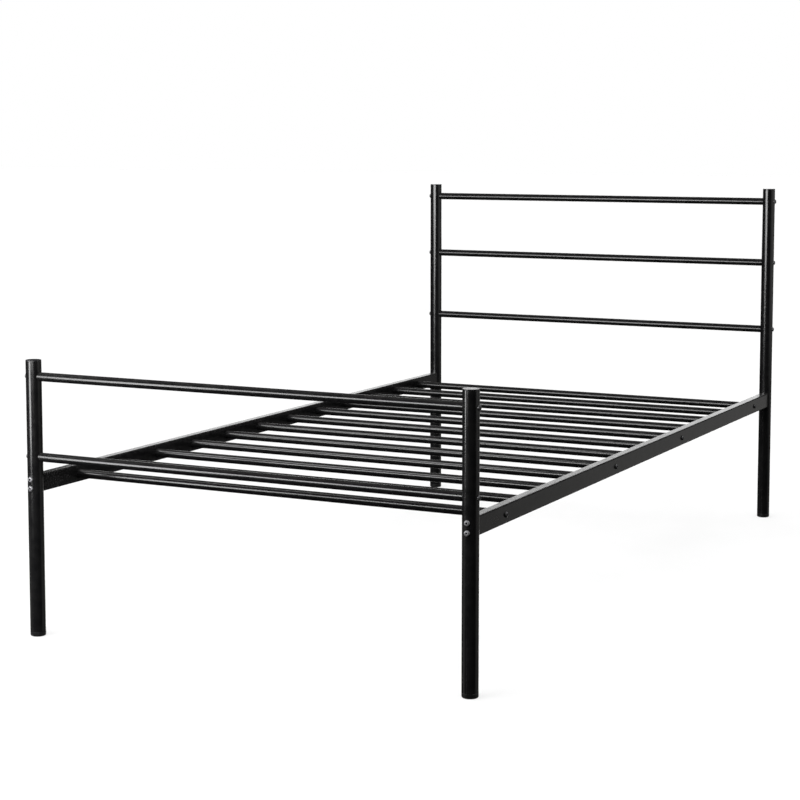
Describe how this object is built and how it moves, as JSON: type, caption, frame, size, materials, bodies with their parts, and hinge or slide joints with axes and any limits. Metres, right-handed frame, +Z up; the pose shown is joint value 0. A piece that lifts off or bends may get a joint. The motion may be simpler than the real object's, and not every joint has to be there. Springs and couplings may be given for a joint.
{
  "type": "metal bed frame",
  "caption": "Knock-down black tubular steel single bed frame with railed headboard and footboard, box side rails and round cross slats for a mattress.",
  "frame": {"origin": "on the floor under the middle of the bed", "axes": "+Z up, +Y along the bed towards the headboard, +X across the bed to the right of someone who stands at the footboard and looks at the headboard"},
  "size_m": [1.0482, 1.9762, 0.907],
  "materials": {
    "black_powder_coat": "semi-gloss powder coat, very fine texture",
    "foot_plastic": "satin moulded plastic",
    "cap_plastic": "smooth glossy moulded plastic",
    "bright_zinc": "bright zinc plated, satin",
    "black_zinc": "black zinc plated, satin"
  },
  "bodies": {
    "root": {"footboard_corner_bolt_lower_left": "bright_zinc", "footboard_corner_bolt_lower_right": "bright_zinc", "footboard_corner_bolt_upper_left": "bright_zinc", "footboard_corner_bolt_upper_right": "bright_zinc", "footboard_foot_left": "foot_plastic", "footboard_foot_right": "foot_plastic", "footboard_lower_rail_bolt_left": "black_zinc", "footboard_lower_rail_bolt_right": "black_zinc", "footboard_post_cap_left": "cap_plastic", "footboard_post_cap_right": "cap_plastic", "footboard_post_left": "black_powder_coat", "footboard_post_right": "black_powder_coat", "footboard_rail_lower": "black_powder_coat", "footboard_rail_upper": "black_powder_coat", "footboard_upper_rail_bolt_left": "black_zinc", "footboard_upper_rail_bolt_right": "black_zinc", "headboard_corner_bolt_lower_left": "bright_zinc", "headboard_corner_bolt_lower_right": "bright_zinc", "headboard_corner_bolt_upper_left": "bright_zinc", "headboard_corner_bolt_upper_right": "bright_zinc", "headboard_foot_left": "foot_plastic", "headboard_foot_right": "foot_plastic", "headboard_lower_rail_bolt_left": "black_zinc", "headboard_lower_rail_bolt_right": "black_zinc", "headboard_middle_rail_bolt_left": "black_zinc", "headboard_middle_rail_bolt_right": "black_zinc", "headboard_post_cap_left": "cap_plastic", "headboard_post_cap_right": "cap_plastic", "headboard_post_left": "black_powder_coat", "headboard_post_right": "black_powder_coat", "headboard_rail_lower": "black_powder_coat", "headboard_rail_middle": "black_powder_coat", "headboard_rail_upper": "black_powder_coat", "headboard_upper_rail_bolt_left": "black_zinc", "headboard_upper_rail_bolt_right": "black_zinc", "side_rail_left": "black_powder_coat", "side_rail_right": "black_powder_coat", "slat_01": "black_powder_coat", "slat_01_bolt_left": "black_zinc", "slat_01_bolt_right": "black_zinc", "slat_02": "black_powder_coat", "slat_03": "black_powder_coat", "slat_04": "black_powder_coat", "slat_05": "black_powder_coat", "slat_05_bolt_left": "black_zinc", "slat_05_bolt_right": "black_zinc", "slat_06": "black_powder_coat", "slat_07": "black_powder_coat", "slat_08": "black_powder_coat", "slat_08_bolt_left": "black_zinc", "slat_08_bolt_right": "black_zinc", "slat_09": "black_powder_coat", "slat_10": "black_powder_coat", "slat_11": "black_powder_coat", "slat_12": "black_powder_coat", "slat_12_bolt_left": "black_zinc", "slat_12_bolt_right": "black_zinc"}
  },
  "joints": []
}
